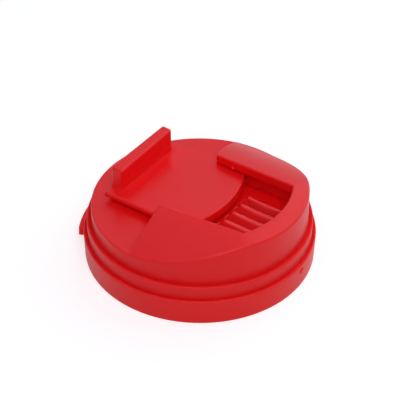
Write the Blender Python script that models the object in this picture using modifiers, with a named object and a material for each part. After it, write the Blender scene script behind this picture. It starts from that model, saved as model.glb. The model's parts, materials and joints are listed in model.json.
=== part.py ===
"""Press-on drinking lid for a travel cup, with a thumb slide over a barred pour opening.

The lid stands on its skirt. The origin is on the lid's axis at the skirt's lower edge, +Z is up, and the
slide closes towards +X, the drinking side. The slide is modelled open. All sizes are in metres.
"""

import math

import bmesh
import bpy

# Outside of the shell, from the skirt upwards
SKIRT_RADIUS = 0.0450        # at the lower edge
SKIRT_FLARE = 0.0002         # extra radius at the skirt's ledge
SKIRT_HEIGHT = 0.0106
RING_SETBACK = 0.0015        # width of the lower ledge
RING_HEIGHT = 0.0057
CROWN_SETBACK = 0.0018       # width of the upper ledge
CROWN_HEIGHT = 0.0061        # upper ledge to the deck
CROWN_DRAFT = 0.025          # inward lean of the crown wall, per unit of height
EDGE_CHAMFER = 0.0004        # broken edge at the skirt and ledges

# Walls and the inside of the shell
DECK_THICKNESS = 0.0020
RING_WALL = 0.0018           # wall outside the cup's rim
CROWN_WALL = 0.0024
SEAT_THICKNESS = 0.0023      # material above the seat for the cup's rim
LEAD_IN = 0.0010             # height of the chamfer that guides the cup's rim in
BEAD_REACH = 0.0006          # snap bead that holds the liner
BEAD_HEIGHT = 0.0010

# Roof that stands round the slide's channel
ROOF_START = -0.0045         # x of the roof's two ends, at the channel
ROOF_SKEW = 0.077            # lean of those ends towards +X, per unit outwards
ROOF_RISE = 0.045            # rise of the channel edge per unit towards +X
ROOF_FALL = 0.34             # fall of the roof per unit outwards
ROOF_WALL = 0.0024
END_BAND = 0.0066            # roof between the channel's end and the crown wall
LIP_THICKNESS = 0.0034
LIP_COVER = 0.0019           # lips over the slide's edges, at the roof's ends
LIP_TAPER = 0.0019           # further cover at the drinking side
END_UNDERCUT = 0.0024        # depth of the groove under the lip at the channel's end

# Thumb slide
SLIDE_HALF_WIDTH = 0.0208
SLIDE_THICKNESS = 0.0026
SLIDE_NOSE = 0.0125          # x of the slide's front end when open
SLIDE_NOSE_RADIUS = 0.0420
SLIDE_END_MARGIN = 0.0117    # rim of the deck to the slide's back end when open
RUNNER_HEIGHT = 0.0011       # runners that carry the slide on the deck
RUNNER_WIDTH = 0.0018
RUNNER_INSET = 0.0014        # runners set in from the slide's edges
TAB_MARGIN = 0.0026          # lips to the tab's ends
TAB_THICKNESS = 0.0046
TAB_HEIGHT = 0.0100
TAB_SLOPE = 0.0004           # fall of the tab's top towards +X
TAB_SETBACK = 0.0005
TAB_ROUND = 0.0007
LEG_SETBACK = 0.0095         # slide's back end to the middle of its legs
LEG_LENGTH = 0.0040
LEG_HALF_SPAN = 0.0022       # half the width of the pair of legs
LEG_SLIT = 0.0012            # gap that lets the legs spring together
HOOK_REACH = 0.0015
HOOK_THICKNESS = 0.0010

# Pour opening
WINDOW_LEAD = 0.0005         # corners of the open slide's nose to the start of the window
WINDOW_UNDERCUT = 0.0009     # window's end beyond the channel's end, under the lip
WINDOW_SIDE_LEDGE = 0.0004   # deck left at each side of the groove
BAR_COUNT = 6
BAR_EDGE = 0.0065            # window's side to the middle of the outermost bar
BAR_SHARE = 0.45             # width of a bar as a share of the bars' pitch
BAR_RISE = 0.0005            # top of a bar above the liner's pad, at its ends
BAR_DIP = 0.0004             # how far a bar sinks half way along
BAR_END = 0.0006             # bars stop short of the slots' far ends
PAD_MARGIN = 0.0014          # pad beyond the window all round
SLOT_LEAD = 0.0015           # open slide's nose to the start of the slots
SLOT_LEDGE = 0.0014          # window's end to the end of the slots

# Liner, which goes inside the cup's mouth, and its seal
LINER_FLOOR = 0.0020
LINER_RIM = 0.0016           # upstand at the edge of the liner's floor
CUP_RIM_GAP = 0.0038         # space for the cup's rim, between the ring and the plug
PLUG_WALL = 0.0020
PLUG_LIFT = 0.0030           # lower end of the plug above the skirt's lower edge
SEAL_LIFT = 0.0025           # lower side of the seal's groove above the end of the plug
SEAL_GROOVE_HEIGHT = 0.0032
SEAL_GROOVE_DEPTH = 0.0012
SEAL_BODY = 0.0003           # body of the seal outside the plug
SEAL_LIP_REACH = 0.0014      # lips of the seal outside the plug
SEAL_LIP_THICKNESS = 0.0007

# Lift lug at the back of the skirt
LUG_REACH = 0.0023           # beyond the skirt's lower edge
LUG_LOW = 0.0022
LUG_HEIGHT = 0.0045
LUG_HALF_ANGLE = math.radians(32)

# Clearances
FIT_GAP = 0.0003             # between pieces that seat on each other
SIDE_GAP = 0.0005            # each side of the slide in its groove
LIP_GAP = 0.0006             # top of the slide to the lips over it

# Smoothness
TURN_STEPS = 72
ARC_STEPS = 12
FAN_STEPS = 5
WELD_DISTANCE = 1e-6

# Heights that follow from the sizes above
ring_base = SKIRT_HEIGHT
ring_top = ring_base + RING_HEIGHT
deck_top = ring_top + CROWN_HEIGHT
deck_under = deck_top - DECK_THICKNESS
seat_height = ring_top - SEAT_THICKNESS
slide_under = deck_top + FIT_GAP + RUNNER_HEIGHT
slide_top = slide_under + SLIDE_THICKNESS
hook_top = deck_under - FIT_GAP
hook_low = hook_top - HOOK_THICKNESS
floor_top = hook_low - FIT_GAP
floor_under = floor_top - LINER_FLOOR
pad_top = deck_under - FIT_GAP
roof_edge = slide_top + LIP_GAP + LIP_THICKNESS
sky_height = roof_edge + 2 * ROOF_RISE * SKIRT_RADIUS

# Radii that follow from the sizes above
skirt_top_radius = SKIRT_RADIUS + SKIRT_FLARE
ring_radius = skirt_top_radius - RING_SETBACK
crown_radius = ring_radius - CROWN_SETBACK
bore_radius = ring_radius - RING_WALL
crown_bore = crown_radius - CROWN_WALL
liner_radius = crown_bore - FIT_GAP
plug_radius = bore_radius - CUP_RIM_GAP
plug_bore = plug_radius - PLUG_WALL


def crown_radius_at(height):
    """Outside radius of the leaning crown wall at a height."""
    return crown_radius - CROWN_DRAFT * (height - ring_top)


# Plan of the channel, the slide and the window
channel_end = crown_radius_at(roof_edge) - END_BAND
channel_half_start = SLIDE_HALF_WIDTH - LIP_COVER
channel_half_end = channel_half_start - LIP_TAPER
groove_end = channel_end + END_UNDERCUT
groove_half = SLIDE_HALF_WIDTH + SIDE_GAP
tab_half = channel_half_start - TAB_MARGIN
slide_back = SLIDE_END_MARGIN - crown_radius_at(deck_top)
nose_centre = SLIDE_NOSE - SLIDE_NOSE_RADIUS
nose_corner = nose_centre + math.sqrt(SLIDE_NOSE_RADIUS**2 - SLIDE_HALF_WIDTH**2)
slide_travel = math.sqrt((groove_end - SIDE_GAP) ** 2 - SLIDE_HALF_WIDTH**2) - nose_corner
leg_middle = slide_back + LEG_SETBACK
guide_end = leg_middle + slide_travel + LEG_LENGTH / 2 + SIDE_GAP
window_start = max(nose_corner + WINDOW_LEAD, guide_end + PAD_MARGIN + FIT_GAP)
window_end = channel_end + WINDOW_UNDERCUT
window_half = groove_half - WINDOW_SIDE_LEDGE
slot_start = SLIDE_NOSE + SLOT_LEAD
bar_pitch = 2 * (window_half - BAR_EDGE) / (BAR_COUNT - 1)
bar_width = BAR_SHARE * bar_pitch

RED_PLASTIC = ("red_plastic", (0.62, 0.030, 0.036), 0.42)
CLEAR_SILICONE = ("clear_silicone", (0.78, 0.77, 0.74), 0.55)


def clear_scene():
    """Remove every object of the open file."""
    for item in list(bpy.data.objects):
        bpy.data.objects.remove(item)


def new_collection(name):
    """A collection linked to the scene."""
    group = bpy.data.collections.new(name)
    bpy.context.scene.collection.children.link(group)
    return group


def plastic(name, colour, roughness):
    """A non-metallic Principled material."""
    material = bpy.data.materials.new(name)
    material.use_nodes = True
    shader = material.node_tree.nodes["Principled BSDF"]
    shader.inputs["Base Color"].default_value = (*colour, 1.0)
    shader.inputs["Roughness"].default_value = roughness
    shader.inputs["Metallic"].default_value = 0.0
    return material


def place(name, mesh, group):
    """An object in a collection; those in the cutters' collection only show as wires."""
    body = bpy.data.objects.new(name, mesh)
    group.objects.link(body)
    if group is cutters:
        body.hide_render = True
        body.display_type = "WIRE"
    return body


def mesh_from(bm, name):
    """A mesh from a bmesh, welded, with its faces turned outwards."""
    bmesh.ops.remove_doubles(bm, verts=bm.verts, dist=WELD_DISTANCE)
    bmesh.ops.recalc_face_normals(bm, faces=bm.faces)
    mesh = bpy.data.meshes.new(name)
    bm.to_mesh(mesh)
    bm.free()
    return mesh


def turned(name, profile, group, ring=False):
    """A shape turned about Z from (radius, height) points, given down its outer side."""
    mesh = bpy.data.meshes.new(name)
    edges = [(i, i + 1) for i in range(len(profile) - 1)]
    if ring:
        edges.append((len(profile) - 1, 0))
    mesh.from_pydata([(radius, 0, height) for radius, height in profile], edges, [])
    body = place(name, mesh, group)
    screw = body.modifiers.new("turn", "SCREW")
    screw.axis = "Z"
    screw.steps = TURN_STEPS
    screw.render_steps = TURN_STEPS
    screw.use_merge_vertices = True
    screw.merge_threshold = WELD_DISTANCE
    screw.use_smooth_shade = True
    return body


def mesh_from_curve(name, curve):
    """A welded mesh of a curve with its caps."""
    pattern = bpy.data.objects.new(name + "_curve", curve)
    bpy.context.scene.collection.objects.link(pattern)
    bpy.context.view_layer.update()
    evaluated = pattern.evaluated_get(bpy.context.evaluated_depsgraph_get())
    bm = bmesh.new()
    bm.from_mesh(evaluated.to_mesh())
    evaluated.to_mesh_clear()
    bpy.data.objects.remove(pattern)
    return mesh_from(bm, name)


def extruded(name, outline, low, high, group):
    """A flat outline of (x, y) points, filled, from one height to another."""
    curve = bpy.data.curves.new(name, "CURVE")
    curve.dimensions = "2D"
    curve.fill_mode = "BOTH"
    curve.extrude = (high - low) / 2
    spline = curve.splines.new("POLY")
    spline.points.add(len(outline) - 1)
    for point, (x, y) in zip(spline.points, outline):
        point.co = (x, y, 0, 1)
    spline.use_cyclic_u = True
    mesh = mesh_from_curve(name, curve)
    for vertex in mesh.vertices:
        vertex.co.z += (low + high) / 2
    return place(name, mesh, group)


def box(name, low, high, group):
    """A box between two corners."""
    bm = bmesh.new()
    bmesh.ops.create_cube(bm, size=1)
    for vertex in bm.verts:
        for axis in range(3):
            vertex.co[axis] = high[axis] if vertex.co[axis] > 0 else low[axis]
    return place(name, mesh_from(bm, name), group)


def combine(body, other, operation):
    """Cut, join or intersect a body with another, which goes with the cutters."""
    step = body.modifiers.new(f"{operation.lower()}_{other.name}", "BOOLEAN")
    step.operation = operation
    step.solver = "EXACT"
    step.object = other


def arc(radius, start, end, steps=ARC_STEPS, centre_x=0.0):
    """Points along an arc about a centre on the X axis."""
    angles = [start + (end - start) * i / steps for i in range(steps + 1)]
    return [(centre_x + radius * math.cos(a), radius * math.sin(a)) for a in angles]


def round_ended(half_width, back, radius, centre_x=0.0):
    """An outline with straight sides, a square back and an arc for its +X end."""
    corner = math.asin(half_width / radius)
    return [(back, half_width), (back, -half_width), *arc(radius, -corner, corner, centre_x=centre_x)]


def edge_height(x):
    """Height of the roof's edge along the channel."""
    return roof_edge + ROOF_RISE * (x - ROOF_START)


def channel_half_at(x):
    """Half the width between the lips, which narrows evenly towards the drinking side."""
    corner_x = math.sqrt(channel_end**2 - channel_half_end**2)
    share = (x - ROOF_START) / (corner_x - ROOF_START)
    return channel_half_start + share * (channel_half_end - channel_half_start)


def roof_stations():
    """Points round the channel's edge, each with its outward direction in plan."""
    corner = math.asin(channel_half_end / channel_end)
    side = -math.pi / 2 + math.atan(ROOF_SKEW)
    corner_point = arc(channel_end, -corner, -corner, 1)[0]
    half = [((ROOF_START, -channel_half_start), side)]
    half += [(corner_point, side + (-corner - side) * i / FAN_STEPS) for i in range(FAN_STEPS)]
    half += [(point, math.atan2(point[1], point[0])) for point in arc(channel_end, -corner, 0)]
    mirrored = [((x, -y), -angle) for (x, y), angle in reversed(half[:-1])]
    return half + mirrored


def roof_collar():
    """The solid under the roof: its top falls outwards from the channel's edge, past the crown wall."""
    reach = SKIRT_RADIUS
    bm = bmesh.new()
    rows = []
    for (x, y), angle in roof_stations():
        top = edge_height(x)
        far_x = x + reach * math.cos(angle)
        far_y = y + reach * math.sin(angle)
        corners = [(x, y, top), (far_x, far_y, top - ROOF_FALL * reach), (far_x, far_y, 0), (x, y, 0)]
        rows.append([bm.verts.new(corner) for corner in corners])
    for row, following in zip(rows, rows[1:]):
        for i in range(4):
            bm.faces.new([row[i], row[i - 1], following[i - 1], following[i]])
    bm.faces.new(rows[0])
    bm.faces.new(rows[-1])
    return place("roof_collar", mesh_from(bm, "roof_collar"), cutters)


def groove_tool():
    """The slide's groove: wider than the lips, and as high as their sloping underside."""
    start = ROOF_START - channel_half_start
    outline = round_ended(groove_half, start, groove_end)
    tool = extruded("slide_groove", outline, floor_under - DECK_THICKNESS, deck_top, cutters)
    for vertex in tool.data.vertices:
        if vertex.co.z > deck_under:
            vertex.co.z = edge_height(vertex.co.x) - LIP_THICKNESS
    return tool


def sky_tool():
    """All that lies above the deck, apart from the roof."""
    half = 2 * SKIRT_RADIUS
    collar = roof_collar()
    combine(collar, groove_tool(), "DIFFERENCE")
    sky = box("sky", (-half, -half, deck_top), (half, half, 2 * sky_height), cutters)
    combine(sky, collar, "DIFFERENCE")
    return sky


def roof_hollow_tool():
    """The hollow inside each side of the roof, open towards the liner."""
    near_y = groove_half + CROWN_WALL
    low = (ROOF_START + CROWN_WALL, near_y, 0)
    hollow = box("roof_hollow", low, (crown_radius, crown_radius, sky_height), cutters)
    for vertex in hollow.data.vertices:
        if vertex.co.z > deck_top:
            x, y = vertex.co.x, vertex.co.y
            vertex.co.z = edge_height(x) - ROOF_FALL * (y - channel_half_at(x)) - ROOF_WALL
    wall_side = [(crown_radius_at(h) - CROWN_WALL, h) for h in (sky_height, floor_top)]
    limit = turned("roof_hollow_limit", [(0, sky_height), *wall_side, (0, floor_top)], cutters)
    combine(hollow, limit, "INTERSECT")
    mirror = hollow.modifiers.new("other_side", "MIRROR")
    mirror.use_axis = (False, True, False)
    mirror.merge_threshold = WELD_DISTANCE
    return hollow


def window_outline(margin):
    """Plan of the pour opening, grown by a margin."""
    return round_ended(window_half + margin, window_start - margin, window_end + margin)


def lid_shell():
    """Skirt, ring, crown, deck and roof, moulded as one piece."""
    inner_chamfer = LEAD_IN / 2
    bead_low = floor_under - FIT_GAP - BEAD_HEIGHT
    profile = [
        (0, sky_height),
        (crown_radius_at(sky_height), sky_height),
        (crown_radius, ring_top),
        (ring_radius - EDGE_CHAMFER, ring_top),
        (ring_radius, ring_top - EDGE_CHAMFER),
        (ring_radius, ring_base),
        (skirt_top_radius - EDGE_CHAMFER, ring_base),
        (skirt_top_radius, ring_base - EDGE_CHAMFER),
        (SKIRT_RADIUS, EDGE_CHAMFER),
        (SKIRT_RADIUS - EDGE_CHAMFER, 0),
        (bore_radius + inner_chamfer, 0),
        (bore_radius, LEAD_IN),
        (bore_radius, seat_height),
        (crown_bore, seat_height),
        (crown_bore, bead_low),
        (crown_bore - BEAD_REACH, bead_low + BEAD_HEIGHT / 2),
        (crown_bore, bead_low + BEAD_HEIGHT),
        (crown_bore, deck_under),
        (0, deck_under),
    ]
    shell = turned("lid_shell", profile, parts)
    combine(shell, sky_tool(), "DIFFERENCE")
    combine(shell, roof_hollow_tool(), "DIFFERENCE")
    window = extruded("pour_window", window_outline(0), floor_top, slide_under, cutters)
    combine(shell, window, "DIFFERENCE")
    slot_half = LEG_HALF_SPAN + FIT_GAP
    slot_low = (leg_middle - LEG_LENGTH / 2 - SIDE_GAP, -slot_half, floor_top)
    slot_high = (guide_end, slot_half, slide_under)
    combine(shell, box("guide_slot", slot_low, slot_high, cutters), "DIFFERENCE")
    outer = arc(SKIRT_RADIUS + LUG_REACH, math.pi - LUG_HALF_ANGLE, math.pi + LUG_HALF_ANGLE)
    inner = arc(SKIRT_RADIUS - RING_WALL / 2, math.pi + LUG_HALF_ANGLE, math.pi - LUG_HALF_ANGLE)
    lug = extruded("lift_lug", outer + inner, LUG_LOW, LUG_LOW + LUG_HEIGHT, cutters)
    combine(shell, lug, "UNION")
    return shell


def inner_liner():
    """Floor and plug that go inside the cup's mouth, with the barred pad under the pour opening."""
    groove_low = PLUG_LIFT + SEAL_LIFT
    groove_top = groove_low + SEAL_GROOVE_HEIGHT
    groove_radius = plug_radius - SEAL_GROOVE_DEPTH
    profile = [
        (0, floor_top),
        (liner_radius - LINER_RIM, floor_top),
        (liner_radius - LINER_RIM, pad_top),
        (liner_radius, pad_top),
        (liner_radius, floor_under),
        (plug_radius, floor_under),
        (plug_radius, groove_top),
        (groove_radius, groove_top),
        (groove_radius, groove_low),
        (plug_radius, groove_low),
        (plug_radius, PLUG_LIFT),
        (plug_bore, PLUG_LIFT),
        (plug_bore, floor_under),
        (0, floor_under),
    ]
    liner = turned("inner_liner", profile, parts)
    sunk = LINER_FLOOR / 2
    pad = extruded("grille_pad", window_outline(PAD_MARGIN), floor_top - sunk, pad_top, cutters)
    combine(liner, pad, "UNION")
    combine(liner, grille_bars(), "UNION")
    combine(liner, grille_slots(), "DIFFERENCE")
    return liner


def joined(name, meshes):
    """One cutter from several separate bodies."""
    bm = bmesh.new()
    for mesh in meshes:
        bm.from_mesh(mesh)
    return place(name, mesh_from(bm, name), cutters)


def slot_reach(y):
    """Where the slots and bars end, along the window's round end."""
    return math.sqrt((window_end - SLOT_LEDGE) ** 2 - y**2)


def grille_bars():
    """Round bars between the slots, each dipping a little half way along."""
    radius = bar_width / 2
    meshes = []
    for i in range(BAR_COUNT):
        y = (i - (BAR_COUNT - 1) / 2) * bar_pitch
        start = slot_start
        end = slot_reach(abs(y)) - BAR_END
        curve = bpy.data.curves.new("grille_bar", "CURVE")
        curve.dimensions = "3D"
        curve.bevel_depth = radius
        curve.bevel_resolution = 2
        curve.use_fill_caps = True
        spline = curve.splines.new("POLY")
        spline.points.add(ARC_STEPS // 2)
        for k, point in enumerate(spline.points):
            along = k / (len(spline.points) - 1)
            height = pad_top + BAR_RISE - radius - BAR_DIP * math.sin(math.pi * along)
            point.co = (start + along * (end - start), y, height, 1)
        meshes.append(mesh_from_curve("grille_bar", curve))
    return joined("grille_bars", meshes)


def grille_slots():
    """The slots that the drink runs through, one between each two bars."""
    width = bar_pitch - bar_width
    meshes = []
    for i in range(BAR_COUNT - 1):
        y = (i - (BAR_COUNT - 2) / 2) * bar_pitch
        low = (slot_start, y - width / 2, floor_under - LINER_FLOOR)
        high = (slot_reach(abs(y) + width / 2), y + width / 2, deck_top)
        slot = box("grille_slot", low, high, cutters)
        meshes.append(slot.data)
        bpy.data.objects.remove(slot)
    return joined("grille_slots", meshes)


def sealing_ring():
    """Silicone ring with two lips, in the plug's groove."""
    inner = plug_radius - SEAL_GROOVE_DEPTH + FIT_GAP
    low = PLUG_LIFT + SEAL_LIFT + FIT_GAP
    high = low + SEAL_GROOVE_HEIGHT - 2 * FIT_GAP
    body = plug_radius + SEAL_BODY
    lip = plug_radius + SEAL_LIP_REACH
    profile = [
        (inner, high),
        (body, high),
        (lip, high - SEAL_LIP_THICKNESS / 2),
        (body, high - SEAL_LIP_THICKNESS),
        (body, low + SEAL_LIP_THICKNESS),
        (lip, low + SEAL_LIP_THICKNESS / 2),
        (body, low),
        (inner, low),
    ]
    return turned("sealing_ring", profile, parts, ring=True)


def slide_runners():
    """Two ribs under the slide's edges, clear of the pour opening."""
    outer = SLIDE_HALF_WIDTH - RUNNER_INSET
    low = (slide_back + RUNNER_INSET, outer - RUNNER_WIDTH, slide_under - RUNNER_HEIGHT)
    high = (nose_corner - RUNNER_INSET, outer, slide_under + SLIDE_THICKNESS / 2)
    runners = box("slide_runners", low, high, cutters)
    mirror = runners.modifiers.new("other_side", "MIRROR")
    mirror.use_axis = (False, True, False)
    mirror.merge_threshold = WELD_DISTANCE
    return runners


def slide_plate():
    """Sliding cover with its thumb tab, and two legs that hook under the deck."""
    outline = round_ended(SLIDE_HALF_WIDTH, slide_back, SLIDE_NOSE_RADIUS, nose_centre)
    plate = extruded("slide_plate", outline, slide_under, slide_top, parts)
    sunk = SLIDE_THICKNESS / 2
    tab_back = slide_back + TAB_SETBACK
    tab_low = (tab_back, -tab_half, slide_top - sunk)
    tab_high = (tab_back + TAB_THICKNESS, tab_half, slide_top + TAB_HEIGHT)
    tab = box("thumb_tab", tab_low, tab_high, cutters)
    for vertex in tab.data.vertices:
        if vertex.co.z > slide_top and vertex.co.x > tab_back + TAB_THICKNESS / 2:
            vertex.co.z -= TAB_SLOPE
    rounding = tab.modifiers.new("rounding", "BEVEL")
    rounding.width = TAB_ROUND
    rounding.segments = 2
    combine(plate, tab, "UNION")
    combine(plate, slide_runners(), "UNION")
    leg_back = leg_middle - LEG_LENGTH / 2
    leg_front = leg_middle + LEG_LENGTH / 2
    hook_half = LEG_HALF_SPAN + HOOK_REACH
    stem_low = (leg_back, -LEG_HALF_SPAN, hook_low)
    combine(plate, box("legs", stem_low, (leg_front, LEG_HALF_SPAN, slide_under + sunk), cutters), "UNION")
    hook = ((leg_back, -hook_half, hook_low), (leg_front, hook_half, hook_top))
    combine(plate, box("hooks", *hook, cutters), "UNION")
    slit_low = (leg_back - LEG_SLIT, -LEG_SLIT / 2, hook_low - LEG_SLIT)
    slit_high = (leg_front + LEG_SLIT, LEG_SLIT / 2, deck_top)
    combine(plate, box("leg_slit", slit_low, slit_high, cutters), "DIFFERENCE")
    axis = bpy.data.objects.new("slide_axis", None)
    axis.location = (0, 0, deck_top)
    parts.objects.link(axis)
    bpy.context.view_layer.update()
    plate.parent = axis
    plate.matrix_parent_inverse = axis.matrix_world.inverted()
    return plate


clear_scene()
parts = new_collection("drinking_lid")
cutters = new_collection("cutters")
red = plastic(*RED_PLASTIC)
silicone = plastic(*CLEAR_SILICONE)
for piece, material in (
    (lid_shell(), red),
    (slide_plate(), red),
    (inner_liner(), red),
    (sealing_ring(), silicone),
):
    piece.data.materials.append(material)
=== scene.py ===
"""Looks of a red travel cup lid with a thumb slide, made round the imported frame.

The moulded pieces are worked out as distance fields: numbers that are below zero in the plastic, zero on
its surface and above zero outside, so that every edge and corner can be rounded as a mould rounds it. A
net is laid over the surface and settled onto it. Lengths are in millimetres until a mesh is written, which
is in metres.
"""

import json
import logging
import math
from abc import ABC, abstractmethod
from collections.abc import Callable, Mapping, Sequence
from dataclasses import dataclass, replace
from enum import Enum
from typing import ClassVar

import bpy
import numpy as np
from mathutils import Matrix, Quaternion, Vector


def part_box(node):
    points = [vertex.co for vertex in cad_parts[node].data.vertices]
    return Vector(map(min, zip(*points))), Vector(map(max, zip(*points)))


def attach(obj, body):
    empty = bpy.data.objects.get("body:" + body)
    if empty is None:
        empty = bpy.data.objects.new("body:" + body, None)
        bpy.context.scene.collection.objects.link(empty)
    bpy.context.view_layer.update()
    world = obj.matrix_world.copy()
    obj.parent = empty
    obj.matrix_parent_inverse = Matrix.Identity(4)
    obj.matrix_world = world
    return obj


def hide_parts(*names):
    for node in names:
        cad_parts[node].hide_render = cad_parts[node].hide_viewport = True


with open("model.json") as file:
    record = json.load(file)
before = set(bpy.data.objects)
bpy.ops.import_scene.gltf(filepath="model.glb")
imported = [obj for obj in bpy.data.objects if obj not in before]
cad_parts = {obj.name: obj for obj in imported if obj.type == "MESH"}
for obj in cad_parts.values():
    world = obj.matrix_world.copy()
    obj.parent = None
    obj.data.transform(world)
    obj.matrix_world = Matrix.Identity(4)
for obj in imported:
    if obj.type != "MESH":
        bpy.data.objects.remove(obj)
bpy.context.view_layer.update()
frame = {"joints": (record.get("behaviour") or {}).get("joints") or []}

Array = np.ndarray
Field = Callable[[Array, Array, Array], Array]
Colour = tuple[float, float, float]

MILLIMETRE = 0.001
TINY = 1e-6
PHOTO_SIDE = 416
NOISE_MIDDLE = 0.5
WHITE: Colour = (1.0, 1.0, 1.0)
# Sockets of a Mix node's colours, which have the same names as those of its other types
MIX_COLOURS = (6, 7)
MIX_RESULT = 2
LOG = logging.getLogger("cup_lid")


class Body(Enum):
    """The frame's bodies."""

    LID = "lid"
    SLIDE = "slide"


class Slot(Enum):
    """The record's material slots."""

    SHELL = "shell_plastic"
    SLIDE = "slide_plastic"
    LINER = "liner_plastic"
    SEAL = "clear_silicone"


def meet(first: Array, second: Array, radius: Array | float) -> Array:
    """What two fields share, with the edge where they meet rounded.

    Where both are less than the radius below zero, the result is the distance from the rounding's centre
    line less the radius; elsewhere it is the larger of the two.

    Args:
        first: one field.
        second: the other field.
        radius: radius of the rounded edge.

    Returns:
        The shared field.
    """
    corner = np.hypot(np.maximum(radius + first, 0), np.maximum(radius + second, 0))
    return np.minimum(-radius, np.maximum(first, second)) + corner


def join(first: Array, second: Array, radius: float) -> Array:
    """Both fields together, with the inner corner between them filled by a hollow round.

    Args:
        first: one field.
        second: the other field.
        radius: radius of the hollow round.

    Returns:
        The joined field.
    """
    corner = np.hypot(np.maximum(radius - first, 0), np.maximum(radius - second, 0))
    return np.maximum(radius, np.minimum(first, second)) - corner


def between(value: Array, low: float, high: float) -> Array:
    """Field of a slab: below zero from low to high."""
    return np.maximum(low - value, value - high)


def largest(*fields: Array) -> Array:
    """The largest of several fields, which is what they share, with sharp edges."""
    return np.maximum.reduce(np.broadcast_arrays(*fields))


def rounded_box(
    x: Array, y: Array, z: Array, low: Sequence[float], high: Sequence[float], radius: float
) -> Array:
    """Field of a box with rounded edges.

    The distance to a smaller box, whose sides lie one radius in, less the radius.

    Args:
        x, y, z: where the field is wanted.
        low: the box's lowest corner.
        high: the box's highest corner.
        radius: radius of the edges.

    Returns:
        The box's field.
    """
    beyond = [
        np.abs(value - (a + b) / 2) - (b - a) / 2 + radius for value, a, b in zip((x, y, z), low, high)
    ]
    outside = np.sqrt(sum(np.maximum(side, 0) ** 2 for side in beyond))
    return outside + np.minimum(largest(*beyond), 0) - radius


def round_ended(x: Array, y: Array, half: float, back: float, radius: float, centre: float = 0.0) -> Array:
    """Plan field of a strip with straight sides, a square back and an arc for its +X end.

    Args:
        x, y: where the field is wanted.
        half: half the strip's width.
        back: x of the square end.
        radius: radius of the arc.
        centre: x of the arc's centre.

    Returns:
        The plan field.
    """
    return largest(np.abs(y) - half, back - x, np.hypot(x - centre, y) - radius)


@dataclass
class LidPlan:
    """Sizes that the lid's pieces share, in millimetres: the frame's, with the photo's roof slopes."""

    skirt_flare: float = 0.2
    skirt_height: float = 10.6
    ring_setback: float = 1.5
    ring_top: float = 16.3
    crown_setback: float = 1.8
    crown_draft: float = 0.025
    deck_top: float = 22.4
    deck_thickness: float = 2.0
    collar_drop: float = 0.6
    pad_margin: float = 1.4
    wall: float = 2.4
    runner_height: float = 1.1
    slide_thickness: float = 2.6
    nose_radius: float = 42.0
    fit_gap: float = 0.3
    side_gap: float = 0.5
    lip_gap: float = 0.2
    lip_thickness: float = 3.8
    lip_cover: float = 1.9
    lip_taper: float = 1.9
    end_band: float = 6.6
    end_undercut: float = 2.4
    roof_start: float = -5.5
    roof_skew: float = -0.033
    roof_turn: float = -0.167
    roof_rise: float = 0.045
    roof_fall: float = 0.34
    roof_fall_rear: float = 0.14
    roof_fall_near: float = 0.225
    roof_twist: float = 0.004
    roof_dome_rear: float = 0.0106
    roof_dome_near: float = 0.004
    leg_setback: float = 9.5
    leg_length: float = 4.0
    leg_half: float = 2.2
    window_lead: float = 0.5
    window_undercut: float = 0.9
    liner_floor: float = 2.0
    hook_thickness: float = 1.0

    def __post_init__(self) -> None:
        """Take the main outlines from the frame and work out what follows from them."""
        shell_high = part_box("lid_shell")[1] / MILLIMETRE
        slide_low, slide_high = (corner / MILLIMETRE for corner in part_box("slide_plate"))
        liner_low, liner_high = (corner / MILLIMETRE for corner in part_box("inner_liner"))
        self.skirt_radius = shell_high.y - self.skirt_flare
        self.ring_radius = shell_high.y - self.ring_setback
        self.crown_radius = self.ring_radius - self.crown_setback
        self.crown_bore = self.crown_radius - self.wall
        self.slide_back, self.slide_nose = slide_low.x, slide_high.x
        self.slide_half = slide_high.y
        self.tab_top = slide_high.z
        self.hook_low = slide_low.z
        self.plug_low = liner_low.z
        self.liner_radius = liner_high.y
        self.slide_low = self.deck_top + self.fit_gap + self.runner_height
        self.slide_top = self.slide_low + self.slide_thickness
        self.roof_edge = self.slide_top + self.lip_gap + self.lip_thickness
        self.channel_end = float(self.crown_at(self.roof_edge)) - self.end_band
        self.channel_start_half = self.slide_half - self.lip_cover
        self.channel_end_half = self.channel_start_half - self.lip_taper
        self.corner_x = math.sqrt(self.channel_end**2 - self.channel_end_half**2)
        self.deck_under = self.deck_top - self.deck_thickness
        self.floor_top = self.hook_low - self.fit_gap
        self.floor_under = self.floor_top - self.liner_floor
        self.leg_middle = self.slide_back + self.leg_setback
        self.nose_rise = self.nose_radius - math.sqrt(self.nose_radius**2 - self.slide_half**2)
        self.window_start = self.slide_nose - self.nose_rise + self.window_lead
        self.window_end = self.channel_end + self.window_undercut
        self.window_half = self.slide_half + self.side_gap
        self.slide_travel = frame["joints"][0]["range_m"][1] / MILLIMETRE

    def crown_at(self, height: Array | float) -> Array | float:
        """Radius of the crown wall's outside, which leans in evenly with height."""
        return self.crown_radius - self.crown_draft * (height - self.ring_top)

    def pad_outline(self, x: Array, y: Array) -> Array:
        """Outline of the liner's pad, and of the thicker deck round the window above it."""
        half, back = self.window_half + self.pad_margin, self.window_start - self.pad_margin
        return round_ended(x, y, half, back, self.window_end + self.pad_margin)

    def edge_at(self, x: Array) -> Array:
        """Height of the roof's edge along the channel, which rises evenly towards +X."""
        return self.roof_edge + self.roof_rise * (x - self.roof_start)


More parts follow.
